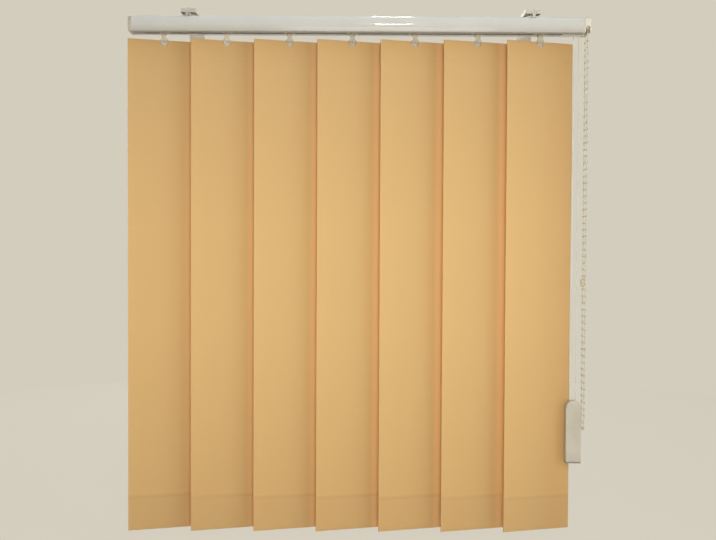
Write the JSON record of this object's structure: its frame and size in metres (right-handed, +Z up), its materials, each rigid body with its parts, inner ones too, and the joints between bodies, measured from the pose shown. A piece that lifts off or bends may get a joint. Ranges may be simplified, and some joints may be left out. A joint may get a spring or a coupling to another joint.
{
  "type": "vertical blind",
  "caption": "Vertical blind: fabric vanes on a short head rail, with wall brackets, clear vane hooks, a bead chain to tilt the vanes and a cord with a hanging weight to draw them.",
  "frame": {"origin": "on the wall face, at the centre of the four bracket screw holes", "axes": "+X along the rail to the control end, +Y into the wall, +Z up"},
  "size_m": [0.8266, 0.0948, 0.9431],
  "materials": {
    "rail_white": "white gloss powder coat on extruded aluminium",
    "cap_ivory": "moulded off-white plastic",
    "control_white": "moulded white plastic",
    "bracket_zinc": "zinc plated pressed steel",
    "clip_steel": "sprung plated steel",
    "screw_steel": "plated steel",
    "rod_aluminium": "drawn aluminium",
    "wheel_plastic": "moulded plastic",
    "pulley_plastic": "moulded plastic",
    "cord_white": "braided polyester cord",
    "chain_ivory": "moulded ivory beads",
    "weight_white": "moulded off-white case",
    "carrier_plastic": "moulded white plastic",
    "worm_plastic": "moulded acetal",
    "hook_clear": "clear moulded plastic",
    "hanger_clear": "clear moulded plastic",
    "vane_fabric": "woven apricot cloth",
    "ballast_steel": "coated steel plate"
  },
  "bodies": {
    "rail": {"head_rail": "rail_white", "idle_end_cap": "cap_ivory", "control_housing": "control_white", "control_cover": "control_white", "bracket_left": "bracket_zinc", "bracket_right": "bracket_zinc", "clip_left": "clip_steel", "clip_right": "clip_steel", "bracket_screws": "screw_steel", "traverse_cord": "cord_white", "bead_chain": "chain_ivory", "chain_joiner": "chain_ivory", "cord_weight": "weight_white", "carrier_7": "carrier_plastic"},
    "tilt_drive": {"tilt_rod": "rod_aluminium", "chain_wheel": "wheel_plastic"},
    "idle_turn": {"idle_pulley": "pulley_plastic"},
    "high_turn": {"cord_pulley_high": "pulley_plastic"},
    "low_turn": {"cord_pulley_low": "pulley_plastic"},
    "truck_1": {"carrier_1": "carrier_plastic"},
    "truck_2": {"carrier_2": "carrier_plastic"},
    "truck_3": {"carrier_3": "carrier_plastic"},
    "truck_4": {"carrier_4": "carrier_plastic"},
    "truck_5": {"carrier_5": "carrier_plastic"},
    "truck_6": {"carrier_6": "carrier_plastic"},
    "worm_turn_1": {"worm_1": "worm_plastic"},
    "leaf_1": {"hook_1": "hook_clear", "hanger_1": "hanger_clear", "vane_1": "vane_fabric", "ballast_1": "ballast_steel"},
    "worm_turn_2": {"worm_2": "worm_plastic"},
    "leaf_2": {"hook_2": "hook_clear", "hanger_2": "hanger_clear", "vane_2": "vane_fabric", "ballast_2": "ballast_steel"},
    "worm_turn_3": {"worm_3": "worm_plastic"},
    "leaf_3": {"hook_3": "hook_clear", "hanger_3": "hanger_clear", "vane_3": "vane_fabric", "ballast_3": "ballast_steel"},
    "worm_turn_4": {"worm_4": "worm_plastic"},
    "leaf_4": {"hook_4": "hook_clear", "hanger_4": "hanger_clear", "vane_4": "vane_fabric", "ballast_4": "ballast_steel"},
    "worm_turn_5": {"worm_5": "worm_plastic"},
    "leaf_5": {"hook_5": "hook_clear", "hanger_5": "hanger_clear", "vane_5": "vane_fabric", "ballast_5": "ballast_steel"},
    "worm_turn_6": {"worm_6": "worm_plastic"},
    "leaf_6": {"hook_6": "hook_clear", "hanger_6": "hanger_clear", "vane_6": "vane_fabric", "ballast_6": "ballast_steel"},
    "worm_turn_7": {"worm_7": "worm_plastic"},
    "leaf_7": {"hook_7": "hook_clear", "hanger_7": "hanger_clear", "vane_7": "vane_fabric", "ballast_7": "ballast_steel"}
  },
  "joints": [
    {"name": "traverse_1", "type": "slide", "parent": "rail", "child": "truck_1", "axis": [1, 0, 0], "range_m": [0, 0.546]},
    {"name": "traverse_2", "type": "slide", "parent": "rail", "child": "truck_2", "axis": [1, 0, 0], "range_m": [0, 0.456]},
    {"name": "traverse_3", "type": "slide", "parent": "rail", "child": "truck_3", "axis": [1, 0, 0], "range_m": [0, 0.365]},
    {"name": "traverse_4", "type": "slide", "parent": "rail", "child": "truck_4", "axis": [1, 0, 0], "range_m": [0, 0.274]},
    {"name": "traverse_5", "type": "slide", "parent": "rail", "child": "truck_5", "axis": [1, 0, 0], "range_m": [0, 0.183]},
    {"name": "traverse_6", "type": "slide", "parent": "rail", "child": "truck_6", "axis": [1, 0, 0], "range_m": [0, 0.092]},
    {"name": "tilt_1", "type": "hinge", "parent": "truck_1", "child": "leaf_1", "pos_m": [-0.354, -0.075, -0.0039], "axis": [0, 0, 1], "range_deg": [0, 154]},
    {"name": "tilt_2", "type": "hinge", "parent": "truck_2", "child": "leaf_2", "pos_m": [-0.241, -0.075, -0.0039], "axis": [0, 0, 1], "range_deg": [0, 155]},
    {"name": "tilt_3", "type": "hinge", "parent": "truck_3", "child": "leaf_3", "pos_m": [-0.128, -0.075, -0.0039], "axis": [0, 0, 1], "range_deg": [0, 155]},
    {"name": "tilt_4", "type": "hinge", "parent": "truck_4", "child": "leaf_4", "pos_m": [-0.015, -0.075, -0.0039], "axis": [0, 0, 1], "range_deg": [0, 155]},
    {"name": "tilt_5", "type": "hinge", "parent": "truck_5", "child": "leaf_5", "pos_m": [0.098, -0.075, -0.0039], "axis": [0, 0, 1], "range_deg": [0, 155]},
    {"name": "tilt_6", "type": "hinge", "parent": "truck_6", "child": "leaf_6", "pos_m": [0.211, -0.075, -0.0039], "axis": [0, 0, 1], "range_deg": [0, 155]},
    {"name": "tilt_7", "type": "hinge", "parent": "rail", "child": "leaf_7", "pos_m": [0.324, -0.075, -0.0039], "axis": [0, 0, 1], "range_deg": [0, 155]},
    {"name": "worm_1_turn", "type": "hinge", "parent": "truck_1", "child": "worm_turn_1", "pos_m": [-0.354, -0.083, 0.0116], "axis": [1, 0, 0], "range_deg": [0, 1395]},
    {"name": "worm_2_turn", "type": "hinge", "parent": "truck_2", "child": "worm_turn_2", "pos_m": [-0.241, -0.083, 0.0116], "axis": [1, 0, 0], "range_deg": [0, 1395]},
    {"name": "worm_3_turn", "type": "hinge", "parent": "truck_3", "child": "worm_turn_3", "pos_m": [-0.128, -0.083, 0.0116], "axis": [1, 0, 0], "range_deg": [0, 1395]},
    {"name": "worm_4_turn", "type": "hinge", "parent": "truck_4", "child": "worm_turn_4", "pos_m": [-0.015, -0.083, 0.0116], "axis": [1, 0, 0], "range_deg": [0, 1395]},
    {"name": "worm_5_turn", "type": "hinge", "parent": "truck_5", "child": "worm_turn_5", "pos_m": [0.098, -0.083, 0.0116], "axis": [1, 0, 0], "range_deg": [0, 1395]},
    {"name": "worm_6_turn", "type": "hinge", "parent": "truck_6", "child": "worm_turn_6", "pos_m": [0.211, -0.083, 0.0116], "axis": [1, 0, 0], "range_deg": [0, 1395]},
    {"name": "worm_7_turn", "type": "hinge", "parent": "rail", "child": "worm_turn_7", "pos_m": [0.324, -0.083, 0.0116], "axis": [1, 0, 0], "range_deg": [0, 1395]},
    {"name": "rod_turn", "type": "hinge", "parent": "rail", "child": "tilt_drive", "pos_m": [0, -0.083, 0.0116], "axis": [1, 0, 0], "range_deg": [0, 1395]},
    {"name": "idle_pulley_turn", "type": "hinge", "parent": "rail", "child": "idle_turn", "pos_m": [-0.4, -0.0658, 0.0116], "axis": [0, 1, 0], "range_deg": [-6971.9, 0]},
    {"name": "high_pulley_turn", "type": "hinge", "parent": "rail", "child": "high_turn", "pos_m": [0.389, -0.077, 0.0116], "axis": [0, 1, 0], "range_deg": [-6971.9, 0]},
    {"name": "low_pulley_turn", "type": "hinge", "parent": "rail", "child": "low_turn", "pos_m": [0.3805, -0.077, 0.0031], "axis": [0, 1, 0], "range_deg": [0, 7840.9]}
  ],
  "couplings": [
    {"joint": "traverse_2", "follows": "traverse_1", "ratio": 0.83333},
    {"joint": "traverse_3", "follows": "traverse_1", "ratio": 0.66667},
    {"joint": "traverse_4", "follows": "traverse_1", "ratio": 0.5},
    {"joint": "traverse_5", "follows": "traverse_1", "ratio": 0.33333},
    {"joint": "traverse_6", "follows": "traverse_1", "ratio": 0.16667},
    {"joint": "tilt_2", "follows": "tilt_1", "ratio": 1},
    {"joint": "tilt_3", "follows": "tilt_1", "ratio": 1},
    {"joint": "tilt_4", "follows": "tilt_1", "ratio": 1},
    {"joint": "tilt_5", "follows": "tilt_1", "ratio": 1},
    {"joint": "tilt_6", "follows": "tilt_1", "ratio": 1},
    {"joint": "tilt_7", "follows": "tilt_1", "ratio": 1},
    {"joint": "worm_1_turn", "follows": "tilt_1", "ratio": 9},
    {"joint": "worm_2_turn", "follows": "tilt_1", "ratio": 9},
    {"joint": "worm_3_turn", "follows": "tilt_1", "ratio": 9},
    {"joint": "worm_4_turn", "follows": "tilt_1", "ratio": 9},
    {"joint": "worm_5_turn", "follows": "tilt_1", "ratio": 9},
    {"joint": "worm_6_turn", "follows": "tilt_1", "ratio": 9},
    {"joint": "worm_7_turn", "follows": "tilt_1", "ratio": 9},
    {"joint": "rod_turn", "follows": "tilt_1", "ratio": 9},
    {"joint": "idle_pulley_turn", "follows": "traverse_1", "rad_per_m": -222.22},
    {"joint": "high_pulley_turn", "follows": "traverse_1", "rad_per_m": -222.22},
    {"joint": "low_pulley_turn", "follows": "traverse_1", "rad_per_m": 250}
  ]
}
